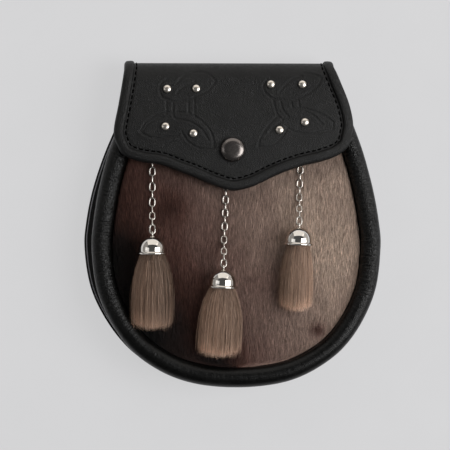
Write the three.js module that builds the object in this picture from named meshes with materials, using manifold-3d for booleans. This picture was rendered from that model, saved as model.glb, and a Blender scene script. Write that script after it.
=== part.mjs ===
// A sporran pouch that lies on its back: a flat leather back, a gusset, a domed fur front in a padded
// leather roll, and a flap folded over the mouth. Three short chains under the flap carry bell caps with
// hair tassels. Millimetres: +Z is out of the front, +Y is toward the fold, X is across.

import * as THREE from 'three';
import { mergeVertices } from 'three/addons/utils/BufferGeometryUtils.js';
import Module from 'manifold-3d';

const wasm = await Module();
wasm.setup();

// Room left between two pieces that touch
const clear = 0.3;

// Body of the pouch
const pouchWidth = 177;
const pouchHeight = 185;
const bottomDepth = 20;
const mouthDepth = 11;
const backThick = 2.2;
const backRimLeft = 4.2;
const backRimRight = 2.2;
const gussetWall = 2;
const gussetInset = 1.8;
const gussetBulge = 1.2;
const panelThick = 2.2;
const panelCrown = 6.5;
const borderWidth = 12.3;
const borderHeight = 9.6;

// Slots in the back for the strap
const slotLength = 40;
const slotWidth = 6;
const slotSpacing = 76;
const slotRise = 0.75;

// Flap, its fold and its binding
const flapWidth = 146;
const flapDrop = 78.5;
const flapThick = 2.2;
const flapShift = -2.8;
const flapCrown = 3;
const crownRun = 30;
const foldGap = 1;
const hingeLength = 17;
const bindingWidth = 6.2;
const bindingWall = 1.1;

// Snap and rivets on the flap
const snapCapWidth = 15;
const snapCapHeight = 3.6;
const snapShankWidth = 5;
const snapPostWidth = 9;
const rivetWidth = 5;
const rivetHeight = 1.7;
const rivetShankWidth = 2;

// Chains and the staples that they hang from
const linkPitch = 4.1;
const linkWidth = 4.1;
const linkWire = 0.95;
const linkBite = 0.3;
const chainRise = 18;
const stapleWire = 1.2;

// Bell caps and hair tassels
const capWidth = 18.5;
const capHeight = 11.4;
const capWall = 0.8;
const eyeWidth = 3.9;
const eyeWire = 1;
const tasselWidth = 26;
const tasselThick = 11;
const hairLength = 44;

// Outline of the border from the middle of the bottom to the mouth: shares of half the pouch's width
// and of its height
const bodyOutline = [
  { halfWidth: 0.272, rise: 0.011 },
  { halfWidth: 0.458, rise: 0.038 },
  { halfWidth: 0.648, rise: 0.091 },
  { halfWidth: 0.764, rise: 0.143 },
  { halfWidth: 0.877, rise: 0.223 },
  { halfWidth: 0.966, rise: 0.328 },
  { halfWidth: 1.0, rise: 0.473 },
  { halfWidth: 0.989, rise: 0.539 },
  { halfWidth: 0.955, rise: 0.644 },
  { halfWidth: 0.9, rise: 0.75 },
  { halfWidth: 0.845, rise: 0.829 },
  { halfWidth: 0.746, rise: 0.948 },
  { halfWidth: 0.698, rise: 1.0 },
];

// Outline of the flap: how far below the fold's top, as a share of its drop, and how far its edge
// stands to the left and the right of its middle, as shares of half its width
const flapOutline = [
  { drop: 0.012, left: 0.899, right: 0.86 },
  { drop: 0.178, left: 0.919, right: 0.914 },
  { drop: 0.333, left: 0.952, right: 0.985 },
  { drop: 0.493, left: 0.986, right: 1.015 },
  { drop: 0.567, left: 0.99, right: 1.001 },
  { drop: 0.648, left: 0.962, right: 0.977 },
  { drop: 0.72, left: 0.915, right: 0.89 },
  { drop: 0.77, left: 0.79, right: 0.751 },
  { drop: 0.797, left: 0.61, right: 0.629 },
  { drop: 0.812, left: 0.555, right: 0.567 },
  { drop: 0.85, left: 0.455, right: 0.446 },
  { drop: 0.889, left: 0.34, right: 0.345 },
  { drop: 0.937, left: 0.222, right: 0.24 },
  { drop: 0.971, left: 0.125, right: 0.155 },
];

// Places on the front: across as a share of half the pouch's width, rise as a share of its height
const snapPlace = { across: -0.032, rise: 0.783 };
const rivetPlaces = [
  { across: -0.48, rise: 0.983 },
  { across: -0.28, rise: 0.984 },
  { across: -0.493, rise: 0.859 },
  { across: -0.301, rise: 0.836 },
  { across: 0.235, rise: 0.999 },
  { across: 0.452, rise: 0.999 },
  { across: 0.292, rise: 0.848 },
  { across: 0.467, rise: 0.874 },
];

// Each hanging: its staple, the lip of its cap, its lean in degrees, its hair as a share of the
// longest hair and its spread as a share of the widest tassel
const hangings = [
  {
    name: 'left', stapleAcross: -0.58, stapleRise: 0.795, across: -0.584, rise: 0.44,
    lean: 0, hair: 1, spread: 0.96,
  },
  {
    name: 'middle', stapleAcross: -0.072, stapleRise: 0.69, across: -0.105, rise: 0.333,
    lean: -3, hair: 0.93, spread: 1,
  },
  {
    name: 'right', stapleAcross: 0.446, stapleRise: 0.79, across: 0.416, rise: 0.468,
    lean: -2.5, hair: 0.87, spread: 0.74,
  },
];

// Profile of a bell cap from its top to its lip: shares of its radius and its height
const capProfile = [
  { radius: 0.385, rise: 0.93 },
  { radius: 0.66, rise: 0.76 },
  { radius: 0.845, rise: 0.5 },
  { radius: 0.89, rise: 0.3 },
  { radius: 0.89, rise: 0.15 },
  { radius: 1.0, rise: 0 },
];

// Locks of a tassel: root as shares of the plug's radius, tip as shares of half the tassel's width and
// thickness, reach as a share of the hair's length, size as a share of the plug's radius
const hairLocks = [
  { rootAcross: -0.5, rootUp: -0.3, tipAcross: -0.68, tipUp: -0.35, reach: 0.94, size: 0.5 },
  { rootAcross: 0, rootUp: -0.35, tipAcross: -0.08, tipUp: -0.4, reach: 0.97, size: 0.58 },
  { rootAcross: 0.5, rootUp: -0.3, tipAcross: 0.66, tipUp: -0.35, reach: 0.95, size: 0.52 },
  { rootAcross: -0.42, rootUp: 0.3, tipAcross: -0.44, tipUp: 0.35, reach: 1.0, size: 0.55 },
  { rootAcross: 0.05, rootUp: 0.38, tipAcross: 0.1, tipUp: 0.42, reach: 0.95, size: 0.58 },
  { rootAcross: 0.45, rootUp: 0.28, tipAcross: 0.5, tipUp: 0.3, reach: 0.98, size: 0.52 },
];

// Deletes what isn't position, joins shared corners, drops empty triangles and turns the faces out
function closedBody(geometry) {
  const bare = new THREE.BufferGeometry();
  bare.setAttribute('position', geometry.getAttribute('position'));
  bare.setIndex(geometry.index);
  const merged = mergeVertices(bare, 1e-4);
  const corners = merged.index.array;
  const position = merged.getAttribute('position');
  const [a, b, c] = [new THREE.Vector3(), new THREE.Vector3(), new THREE.Vector3()];
  const kept = [];
  let volume = 0;
  for (let i = 0; i < corners.length; i += 3) {
    const [p, q, r] = [corners[i], corners[i + 1], corners[i + 2]];
    if (p === q || q === r || r === p) continue;
    kept.push([p, q, r]);
    a.fromBufferAttribute(position, p);
    b.fromBufferAttribute(position, q);
    c.fromBufferAttribute(position, r);
    volume += a.dot(b.cross(c));
  }
  merged.setIndex((volume < 0 ? kept.map(([p, q, r]) => [p, r, q]) : kept).flat());
  return merged;
}

function reshape(geometry, place) {
  const position = geometry.getAttribute('position');
  const point = new THREE.Vector3();
  for (let i = 0; i < position.count; i += 1) {
    const moved = place(point.fromBufferAttribute(position, i));
    position.setXYZ(i, moved.x, moved.y, moved.z);
  }
  return closedBody(geometry);
}

// A section drawn in (in, up) that follows a row of frames
function sweep(section, frames, place) {
  const steps = frames.length - 1;
  const shape = new THREE.Shape(section.map(([x, y]) => new THREE.Vector2(x, y)));
  const geometry = new THREE.ExtrudeGeometry(shape, { depth: steps, steps, bevelEnabled: false });
  return reshape(geometry, (p) => place(frames[Math.round(p.z)], p.x, p.y));
}

// A sheet of leather as a box cut in columns and rows, with place(share across, row, share through)
function sheet(columns, rows, place) {
  const box = new THREE.BoxGeometry(1, 1, 1, columns, rows, 1);
  return reshape(box, (p) => place(p.x + 0.5, Math.round((p.y + 0.5) * rows), p.z + 0.5));
}

function toManifold(geometry, matrix = new THREE.Matrix4()) {
  const moved = closedBody(geometry.clone().applyMatrix4(matrix));
  return new wasm.Manifold(new wasm.Mesh({
    numProp: 3,
    vertProperties: new Float32Array(moved.getAttribute('position').array),
    triVerts: new Uint32Array(moved.index.array),
  }));
}

function toGeometry(manifold) {
  const { vertProperties, triVerts } = manifold.getMesh();
  const geometry = new THREE.BufferGeometry();
  geometry.setAttribute('position', new THREE.BufferAttribute(vertProperties, 3));
  geometry.setIndex(new THREE.BufferAttribute(triVerts, 1));
  return geometry;
}

const join = (solids) => toGeometry(solids.reduce((sum, solid) => sum.add(solid)));

// Heights on the front of the pouch
const halfPouch = pouchWidth / 2;
const bottomY = 0;
const mouthY = bottomY + pouchHeight;
const frontSlope = Math.atan((bottomDepth - mouthDepth) / pouchHeight);
const acrossX = (share) => share * halfPouch;
const riseY = (share) => bottomY + share * pouchHeight;

function frontPlane(y) {
  return backThick + clear + THREE.MathUtils.mapLinear(y, bottomY, mouthY, bottomDepth, mouthDepth);
}

// The fur front swells from the inner edge of the border, the more the nearer to its middle
const domeRise = 0.534;
const domePower = 2.4;
const mouthStretch = 1.1;
function dome(x, y) {
  const middleY = riseY(domeRise);
  const halfDown = middleY - bottomY - borderWidth;
  const halfUp = (mouthY - middleY) * mouthStretch;
  const across = Math.abs(x) / (halfPouch - borderWidth);
  const along = Math.abs(y - middleY) / (y < middleY ? halfDown : halfUp);
  return panelCrown * Math.max(0, 1 - across ** domePower - along ** domePower);
}

const panelTop = (x, y) => frontPlane(y) + clear + panelThick + dome(x, y);

// Frames along the outline from the left end of the mouth round the bottom to the right end
const rightHalf = bodyOutline.map(({ halfWidth, rise }) => new THREE.Vector3(acrossX(halfWidth), riseY(rise), 0));
const leftHalf = rightHalf.map((p) => new THREE.Vector3(-p.x, p.y, 0)).reverse();
const bottomPoint = new THREE.Vector3(0, bottomY, 0);
const bodyCurve = new THREE.CatmullRomCurve3([...leftHalf, bottomPoint, ...rightHalf], false, 'centripetal');

const outlineSteps = 37;
const bodyFrames = Array.from({ length: outlineSteps + 1 }, (_, i) => {
  const along = bodyCurve.getTangentAt(i / outlineSteps);
  const side = new THREE.Vector3(-along.y, along.x, 0);
  return { origin: bodyCurve.getPointAt(i / outlineSteps), side };
});

// Corners of a sheet that fills the outline, drawn in by inset(rise), from the bottom up the right side
function outlineRows(inset) {
  return bodyFrames.slice(bodyFrames.length / 2).map(({ origin, side }) =>
    origin.clone().addScaledVector(side, inset((origin.y - bottomY) / pouchHeight)));
}

function backPanel() {
  const [left, right] = [backRimLeft, backRimRight].map((rim) =>
    outlineRows((rise) => -rim * Math.sin(Math.PI * rise) ** 2));
  const plate = sheet(1, left.length - 1, (u, row, w) => {
    const point = u < 0.5 ? left[row] : right[row];
    return new THREE.Vector3(u < 0.5 ? -point.x : point.x, point.y, w * backThick);
  });
  const slot = new THREE.BoxGeometry(slotWidth, slotLength, 3 * backThick);
  const slots = [-1, 1].map((side) =>
    toManifold(slot, new THREE.Matrix4().makeTranslation((side * slotSpacing) / 2, riseY(slotRise), 0)));
  return toGeometry(slots.reduce((left, cut) => left.subtract(cut), toManifold(plate)));
}

function gusset() {
  const floor = backThick + clear;
  const bow = [0, 1, 1, 0];
  const outer = bow.map((share, i) => [gussetInset - share * gussetBulge, i / (bow.length - 1)]);
  const inner = outer.map(([x, y]) => [x + gussetWall, y]).reverse();
  return sweep([...outer.reverse(), ...inner.reverse()], bodyFrames, ({ origin, side }, x, up) => {
    const p = origin.clone().addScaledVector(side, x);
    return p.setZ(floor + up * (frontPlane(p.y) - floor));
  });
}

function frontPanel() {
  const columns = 10;
  const rows = outlineRows(() => borderWidth + clear);
  return sheet(columns, rows.length - 1, (u, row, w) => {
    const x = (2 * u - 1) * rows[row].x;
    const y = rows[row].y;
    return new THREE.Vector3(x, y, panelTop(x, y) - (1 - w) * panelThick);
  });
}

// A padded roll: flat underneath, round on top
function borderRoll() {
  const arcPoints = 8;
  const section = Array.from({ length: arcPoints }, (_, i) => {
    const angle = (Math.PI * i) / (arcPoints - 1);
    const height = borderHeight * (0.28 + 0.72 * Math.sin(angle) ** 0.8);
    return [(borderWidth / 2) * (1 + Math.cos(angle)), height];
  });
  section.push([borderWidth * 0.06, 0], [borderWidth * 0.94, 0]);
  return sweep(section, bodyFrames, ({ origin, side }, x, up) => {
    const p = origin.clone().addScaledVector(side, x);
    return p.setZ(frontPlane(p.y) + clear + up);
  });
}

// The flap's leather in the flat is (x, s): s runs from the start of the fold over it to the tip.
// fold() bends it round, with w as the height over the middle of the leather.
const foldFloor = backThick + clear + flapThick / 2;
const foldMiddleY = mouthY + foldGap;
const foldRoof = frontPlane(foldMiddleY) + clear + borderHeight + clear + bindingWall + clear + flapThick / 2;
const foldRadius = (foldRoof - foldFloor) / (1 + Math.cos(frontSlope));
const foldMiddleZ = foldFloor + foldRadius;
const foldAngle = Math.PI - frontSlope;
const foldLength = foldRadius * foldAngle;
const foldTopY = foldMiddleY + foldRadius + flapThick / 2;
const foldEndY = foldMiddleY + foldRadius * Math.sin(frontSlope);
const flatS = (y) => foldLength + (foldEndY - y) / Math.cos(frontSlope);

function flapSwell(x, down) {
  const share = THREE.MathUtils.smoothstep(down, 0, crownRun);
  return flapCrown * share * (1 - ((x - flapShift) / (flapWidth / 2)) ** 2);
}

function fold(x, s, w) {
  if (s < 0) return new THREE.Vector3(x, foldMiddleY + s, foldFloor - w);
  const angle = Math.min(s, foldLength) / foldRadius - Math.PI / 2;
  const [outY, outZ] = [Math.cos(angle), Math.sin(angle)];
  const down = Math.max(0, s - foldLength);
  const y = foldMiddleY + (foldRadius + w) * outY - down * outZ;
  const z = foldMiddleZ + (foldRadius + w) * outZ + down * outY;
  return new THREE.Vector3(x, y, z + flapSwell(x, down));
}

// Half widths of the flap at a share of its drop, from the rows of the outline
function flapSpread(drop) {
  const next = Math.max(1, flapOutline.findIndex((row) => row.drop >= drop));
  const [above, below] = [flapOutline[next - 1], flapOutline[next]];
  const share = THREE.MathUtils.clamp((drop - above.drop) / (below.drop - above.drop), 0, 1);
  const half = flapWidth / 2;
  return {
    left: flapShift - half * THREE.MathUtils.lerp(above.left, below.left, share),
    right: flapShift + half * THREE.MathUtils.lerp(above.right, below.right, share),
  };
}

// Rows of the outline in the flat: round the fold, then down the front
const foldSteps = 9;
const foldRows = Array.from({ length: foldSteps }, (_, i) => {
  const s = (foldLength * (i + 1)) / foldSteps;
  const y = fold(0, s, flapThick / 2).y;
  const behind = s < foldLength / 2;
  return { s, ...flapSpread(behind ? 0 : (foldTopY - y) / flapDrop) };
});
const frontRows = flapOutline
  .map(({ drop }) => ({ y: foldTopY - drop * flapDrop, ...flapSpread(drop) }))
  .filter(({ y }) => y < foldEndY - foldGap)
  .map(({ y, left, right }) => ({ s: flatS(y), left, right }));
const flapRows = [...foldRows, ...frontRows];
const flapTip = new THREE.Vector2(flapShift, flatS(foldTopY - flapDrop));

// Frames along the flap's edge, down the left side, round the tip and up the right side
const flapEdge = [
  ...flapRows.map(({ s, left }) => new THREE.Vector2(left, s)),
  flapTip,
  ...flapRows.map(({ s, right }) => new THREE.Vector2(right, s)).reverse(),
];
const flapFrames = flapEdge.map((origin, i) => {
  const before = origin.clone().sub(flapEdge[Math.max(0, i - 1)]).normalize();
  const after = flapEdge[Math.min(flapEdge.length - 1, i + 1)].clone().sub(origin).normalize();
  if (i === 0) before.copy(after);
  if (i === flapEdge.length - 1) after.copy(before);
  const along = before.clone().add(after).normalize();
  const side = new THREE.Vector2(along.y, -along.x).multiplyScalar(1 / along.dot(after));
  return { origin, side };
});

const onFlap = (x, y, w = flapThick / 2) => fold(x, flatS(y), w);

// Where a fastener stands on the flap: its foot just clear of the leather, its axis square to it
function flapSeat({ across, rise }) {
  const step = 0.5;
  const [x, y] = [acrossX(across), riseY(rise)];
  const alongX = onFlap(x + step, y).sub(onFlap(x - step, y));
  const alongY = onFlap(x, y + step).sub(onFlap(x, y - step));
  const normal = alongX.cross(alongY).normalize();
  const quaternion = new THREE.Quaternion().setFromUnitVectors(new THREE.Vector3(0, 1, 0), normal);
  return { position: onFlap(x, y).addScaledVector(normal, clear), quaternion, normal };
}

function flapLeather() {
  const columns = 8;
  const inset = bindingWall + clear;
  const mouthHalf = acrossX(bodyOutline.at(-1).halfWidth);
  const hingeHalf = mouthHalf - gussetInset - gussetWall - foldGap;
  const inward = ({ origin, side }) => origin.clone().addScaledVector(side, inset);
  const rows = [-hingeLength, 0].map((s) => [new THREE.Vector2(-hingeHalf, s), new THREE.Vector2(hingeHalf, s)]);
  flapRows.forEach((_, i) => rows.push([inward(flapFrames[i]), inward(flapFrames.at(-1 - i))]));
  const tip = inward(flapFrames[flapRows.length]);
  rows.push([-1, 1].map((side) => new THREE.Vector2(tip.x + side * clear, tip.y - clear)));
  const leather = sheet(columns, rows.length - 1, (u, row, w) => {
    const p = rows[row][0].clone().lerp(rows[row][1], u);
    return fold(p.x, p.y, (w - 0.5) * flapThick);
  });
  const holes = [{ ...snapPlace, width: snapShankWidth }];
  rivetPlaces.forEach((place) => holes.push({ ...place, width: rivetShankWidth }));
  const cut = holes.reduce((left, hole) => {
    const { position, quaternion } = flapSeat(hole);
    const radius = hole.width / 2 + clear;
    const drill = new THREE.CylinderGeometry(radius, radius, 4 * flapThick, 8);
    return left.subtract(toManifold(drill, new THREE.Matrix4().compose(position, quaternion, new THREE.Vector3(1, 1, 1))));
  }, toManifold(leather));
  return toGeometry(cut);
}

// A channel of leather that grips the flap's edge from both sides
function flapBinding() {
  const slot = flapThick / 2 + clear;
  const roof = slot + bindingWall;
  const outside = [
    [bindingWidth, slot + 0.45 * bindingWall],
    [0.6 * bindingWidth, roof],
    [0.1 * bindingWidth, slot + 0.4 * bindingWall],
  ];
  const mirrored = outside.map(([x, y]) => [x, -y]).reverse();
  const inside = [[bindingWidth, -slot], [bindingWall, -slot], [bindingWall, slot], [bindingWidth, slot]];
  return sweep([...outside, ...mirrored, ...inside], flapFrames, ({ origin, side }, x, up) => {
    const p = origin.clone().addScaledVector(side, x);
    return fold(p.x, p.y, up);
  });
}

// A domed head on a shank that goes through the flap
function domedFastener(width, height, shankWidth, sides) {
  const [radius, shank] = [width / 2, shankWidth / 2];
  const profile = [
    [0, -flapThick - clear],
    [shank, -flapThick - clear],
    [shank, 0],
    [radius, 0],
    [0.94 * radius, 0.4 * height],
    [0.6 * radius, 0.86 * height],
    [0, height],
  ];
  return closedBody(new THREE.LatheGeometry(profile.map(([x, y]) => new THREE.Vector2(x, y)), sides));
}

// A plain upright post between the front panel and the flap, clear of both all round its rim
function snapPost() {
  const sides = 12;
  const [x, y] = [acrossX(snapPlace.across), riseY(snapPlace.rise)];
  const rim = Array.from({ length: sides }, (_, i) => {
    const angle = (2 * Math.PI * i) / sides;
    return [x + (snapPostWidth / 2) * Math.cos(angle), y + (snapPostWidth / 2) * Math.sin(angle)];
  });
  const foot = Math.max(...rim.map(([px, py]) => panelTop(px, py))) + clear;
  const top = Math.min(...rim.map(([px, py]) => onFlap(px, py, -flapThick / 2).z)) - clear;
  const post = new THREE.CylinderGeometry(snapPostWidth / 2, snapPostWidth / 2, top - foot, sides);
  return { geometry: closedBody(post), middleZ: (foot + top) / 2 };
}

// Axes at the lip of a cap: X across, Y toward the cap's top, Z away from the pouch
function hangingMatrix({ across, rise, lean, hair }) {
  const [x, y] = [acrossX(across), riseY(rise)];
  const turn = THREE.MathUtils.degToRad(lean);
  const tipX = x + hair * hairLength * Math.sin(turn);
  const tipY = y - hair * hairLength * Math.cos(turn);
  const up = new THREE.Vector3(x - tipX, y - tipY, panelTop(x, y) - panelTop(tipX, tipY)).normalize();
  const right = up.clone().cross(new THREE.Vector3(0, 0, 1)).normalize();
  const out = right.clone().cross(up);
  const lip = new THREE.Vector3(x, y, panelTop(x, y) + clear).addScaledVector(out, capWidth / 2);
  return new THREE.Matrix4().makeBasis(right, up, out).setPosition(lip);
}

const eyeMiddle = capHeight + eyeWidth / 2 - eyeWire;
const eyeRadius = (eyeWidth - eyeWire) / 2;

function bellCap() {
  const radius = capWidth / 2;
  const outside = capProfile.map((row) => [row.radius * radius, row.rise * capHeight]);
  const inside = outside.filter((_, i) => i % 2 === 1).map(([x, y]) => [x - capWall, Math.max(0, y - capWall)]);
  const profile = [[0, capHeight], ...outside, ...inside.reverse(), [0, capHeight - capWall]];
  const bell = new THREE.LatheGeometry(profile.map(([x, y]) => new THREE.Vector2(x, y)), 12);
  const eye = new THREE.TorusGeometry(eyeRadius, eyeWire / 2, 5, 10).rotateY(Math.PI / 2);
  return join([toManifold(bell), toManifold(eye, new THREE.Matrix4().makeTranslation(0, eyeMiddle, 0))]);
}

// A plug in the cap with locks of hair that spread from it
function hairTassel(length, width) {
  const plugRadius = 0.83 * (capWidth / 2) - capWall - clear;
  const plugTop = 0.45 * capHeight;
  const plugDepth = plugTop + 0.1 * length;
  const plug = new THREE.CylinderGeometry(plugRadius * 0.92, plugRadius, plugDepth, 12);
  const plugPlace = new THREE.Matrix4().makeTranslation(0, plugTop - plugDepth / 2, 0);
  const swell = [[0, 0], [0.85, 0], [1.05, 0.6], [0.7, 0.93], [0, 1]];
  const locks = hairLocks.map((lock) => {
    const root = new THREE.Vector3(lock.rootAcross * plugRadius, 0, lock.rootUp * plugRadius);
    const sag = (tasselThick - capWidth) / 2 + clear;
    const tip = new THREE.Vector3(
      (lock.tipAcross * width) / 2,
      -length * lock.reach,
      (lock.tipUp * tasselThick) / 2 + sag,
    );
    const body = new THREE.LatheGeometry(swell.map(([x, y]) => new THREE.Vector2(x, y)), 5);
    return reshape(body, (p) => {
      const middle = root.clone().lerp(tip, p.y);
      return middle.add(new THREE.Vector3(p.x, 0, p.z).multiplyScalar(lock.size * plugRadius));
    });
  });
  return join([toManifold(plug, plugPlace), ...locks.map((lock) => toManifold(lock))]);
}

// One oval link with its long side along X, lying in XY
function chainLink(length) {
  const around = 8;
  const middleRadius = (linkWidth - linkWire) / 2;
  const stretch = (length - linkWidth) / 2;
  const ring = new THREE.TorusGeometry(middleRadius, linkWire / 2, 5, around);
  ring.rotateZ(Math.PI / around + Math.PI / 2);
  return reshape(ring, (p) => new THREE.Vector3(p.x + Math.sign(p.x) * stretch, p.y, p.z));
}

// Links from the staple's bar to the eye of the cap, every second one turned on its side
function chain(start, end) {
  const lying = clear + linkWidth / 2;
  const points = 16;
  const whole = start.distanceTo(end);
  const route = new THREE.CatmullRomCurve3(Array.from({ length: points + 1 }, (_, i) => {
    const p = start.clone().lerp(end, i / points);
    const low = panelTop(p.x, p.y) + lying;
    const share = THREE.MathUtils.smoothstep(p.distanceTo(end), 0, chainRise);
    return p.setZ(i === 0 ? start.z : THREE.MathUtils.lerp(end.z, low, share));
  }));
  route.arcLengthDivisions = 400;
  const length = route.getLength();
  const barReach = stapleWire / 2 + clear;
  const eyeReach = eyeWire / 2 + clear;
  const count = 2 * Math.round(whole / linkPitch / 2);
  const pitch = (length + linkBite + barReach + eyeReach) / count;
  const link = chainLink(pitch + 2 * linkWire - linkBite);
  const first = (pitch - linkBite) / 2 - barReach;
  return join(Array.from({ length: count }, (_, i) => {
    const share = (first + i * pitch) / length;
    const along = route.getTangentAt(share);
    const right = along.clone().cross(new THREE.Vector3(0, 0, 1)).normalize();
    const up = right.clone().cross(along);
    const flat = i % 2 === 1;
    const turned = flat
      ? new THREE.Matrix4().makeBasis(along, right, up.clone().negate())
      : new THREE.Matrix4().makeBasis(along, up, right);
    if (turned.determinant() < 0) turned.scale(new THREE.Vector3(1, 1, -1));
    return toManifold(link, turned.setPosition(route.getPointAt(share)));
  }));
}

// A bar across on two legs, wide enough for a link between them
function chainStaple() {
  const legGap = linkWidth + 2 * clear;
  const outer = legGap / 2 + stapleWire;
  const top = linkWidth / 2 + stapleWire / 2;
  const bridge = top - stapleWire;
  const corners = [[-outer, 0], [-legGap / 2, 0], [-legGap / 2, bridge], [legGap / 2, bridge],
    [legGap / 2, 0], [outer, 0], [outer, top], [-outer, top]];
  const shape = new THREE.Shape(corners.map(([x, y]) => new THREE.Vector2(x, y)));
  const bar = new THREE.ExtrudeGeometry(shape, { depth: stapleWire, bevelEnabled: false });
  bar.translate(0, -linkWidth / 2, -stapleWire / 2);
  return closedBody(bar.rotateX(Math.PI / 2));
}

const materials = {
  leather: { color: 0x262524, roughness: 0.5, metalness: 0 },
  pebbleLeather: { color: 0x161514, roughness: 0.42, metalness: 0 },
  fur: { color: 0x5f4a42, roughness: 0.9, metalness: 0 },
  hair: { color: 0x7d685c, roughness: 0.85, metalness: 0 },
  chrome: { color: 0xd8dadc, roughness: 0.08, metalness: 1 },
  nickel: { color: 0xbdbcb8, roughness: 0.25, metalness: 1 },
  darkMetal: { color: 0x3b3b3e, roughness: 0.25, metalness: 1 },
};

const model = new THREE.Group();

function addMesh(name, geometry, material, parent = model) {
  geometry.computeVertexNormals();
  const mesh = new THREE.Mesh(geometry, new THREE.MeshStandardMaterial(materials[material]));
  mesh.name = name;
  parent.add(mesh);
  return mesh;
}

addMesh('back_panel', backPanel(), 'leather');
addMesh('gusset', gusset(), 'leather');
addMesh('front_panel', frontPanel(), 'fur');
addMesh('border_roll', borderRoll(), 'pebbleLeather');
addMesh('flap', flapLeather(), 'leather');
addMesh('flap_binding', flapBinding(), 'leather');

const snapSeat = flapSeat(snapPlace);
const snapCap = addMesh('snap_cap', domedFastener(snapCapWidth, snapCapHeight, snapShankWidth, 16), 'darkMetal');
snapCap.position.copy(snapSeat.position);
snapCap.quaternion.copy(snapSeat.quaternion);
const post = snapPost();
const snapFoot = addMesh('snap_post', post.geometry, 'nickel');
snapFoot.rotation.x = Math.PI / 2;
snapFoot.position.set(acrossX(snapPlace.across), riseY(snapPlace.rise), post.middleZ);

rivetPlaces.forEach((place, i) => {
  const { position, quaternion } = flapSeat(place);
  const rivet = addMesh(`rivet_${i + 1}`, domedFastener(rivetWidth, rivetHeight, rivetShankWidth, 10), 'nickel');
  rivet.position.copy(position);
  rivet.quaternion.copy(quaternion);
});

hangings.forEach((hanging) => {
  const matrix = hangingMatrix(hanging);
  const tassel = new THREE.Group();
  matrix.decompose(tassel.position, tassel.quaternion, tassel.scale);
  addMesh(`tassel_cap_${hanging.name}`, bellCap(), 'chrome', tassel);
  const hair = hairTassel(hanging.hair * hairLength, hanging.spread * tasselWidth);
  addMesh(`tassel_hair_${hanging.name}`, hair, 'hair', tassel);
  model.add(tassel);

  const barX = acrossX(hanging.stapleAcross);
  const barY = riseY(hanging.stapleRise);
  const bar = new THREE.Vector3(barX, barY, panelTop(barX, barY) + clear + linkWidth / 2);
  const eyeTop = new THREE.Vector3(0, eyeMiddle + eyeRadius, 0).applyMatrix4(matrix);
  addMesh(`chain_staple_${hanging.name}`, chainStaple(), 'nickel').position.copy(bar);
  addMesh(`chain_${hanging.name}`, chain(bar, eyeTop), 'nickel');
});

// The origin is the middle of the base
const bounds = new THREE.Box3().setFromObject(model, true);
const middle = bounds.getCenter(new THREE.Vector3());
model.position.set(-middle.x, -middle.y, -bounds.min.z);

export default model;
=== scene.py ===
# %% [markdown]
# This is a sporran: a flat leather pouch, worn in front of a kilt, with a fur front, a padded leather
# border, a folded flap and three hair tassels that hang from chains. It lies on its back. The solids of
# its sizes come in as a fixed frame, and each step below gives one of its pieces its real surface.

# %% Load the frame
import math
import bmesh
import bpy
import numpy as np
from mathutils import Matrix, Vector, noise


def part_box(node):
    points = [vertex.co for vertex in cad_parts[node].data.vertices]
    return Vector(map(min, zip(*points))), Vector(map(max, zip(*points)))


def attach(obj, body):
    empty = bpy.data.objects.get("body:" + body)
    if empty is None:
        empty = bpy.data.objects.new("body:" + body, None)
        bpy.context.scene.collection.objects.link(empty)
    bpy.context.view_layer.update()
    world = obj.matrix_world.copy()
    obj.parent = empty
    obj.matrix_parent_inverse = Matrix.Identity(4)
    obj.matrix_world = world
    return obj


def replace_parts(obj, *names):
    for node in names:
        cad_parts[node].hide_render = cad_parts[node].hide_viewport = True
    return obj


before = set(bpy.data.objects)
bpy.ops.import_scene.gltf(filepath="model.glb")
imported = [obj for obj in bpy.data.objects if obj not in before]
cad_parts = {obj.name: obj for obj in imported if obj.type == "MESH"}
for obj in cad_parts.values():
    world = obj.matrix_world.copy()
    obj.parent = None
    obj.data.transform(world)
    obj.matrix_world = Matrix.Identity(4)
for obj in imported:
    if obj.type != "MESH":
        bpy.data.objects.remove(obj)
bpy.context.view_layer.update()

mm = 0.001
print("nodes in the frame:", len(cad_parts))

# %% [markdown]
# The pouch is drawn from a few real sizes. The outline of its border is a table of shares of its width
# and height, as a pattern cutter would note it, and a smooth curve goes through the points.

# %% Sizes of the pouch
clear = 0.3 * mm
pouch_width = 177 * mm
bottom_depth = 20 * mm
mouth_depth = 11 * mm
back_thick = 2.2 * mm
back_rim_left, back_rim_right = 4.2 * mm, 2.2 * mm
panel_thick = 2.2 * mm
panel_crown = 6.5 * mm
border_width = 12.3 * mm
border_height = 9.6 * mm
bottom_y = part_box("border_roll")[0].y
mouth_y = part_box("border_roll")[1].y
pouch_height = mouth_y - bottom_y
half_pouch = pouch_width / 2
# The frame is centred on its whole box, and the back stands out more at the left, so the middle of
# the pouch lies a little to the right of the frame's
middle_x = (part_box("border_roll")[0].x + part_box("border_roll")[1].x) / 2

body_outline = [  # share of half the width, share of the height
    (0.272, 0.011), (0.458, 0.038), (0.648, 0.091), (0.764, 0.143), (0.877, 0.223), (0.966, 0.328),
    (1.0, 0.473), (0.989, 0.539), (0.955, 0.644), (0.9, 0.75), (0.845, 0.829), (0.746, 0.948), (0.698, 1.0),
]


def evenly(points, count):
    """The same line with count points at even steps along it."""
    step = np.linalg.norm(np.diff(points, axis=0), axis=1)
    reach = np.concatenate([[0], np.cumsum(step)])
    at = np.linspace(0, reach[-1], count)
    return np.stack([np.interp(at, reach, points[:, k]) for k in range(points.shape[1])], axis=1)


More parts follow.
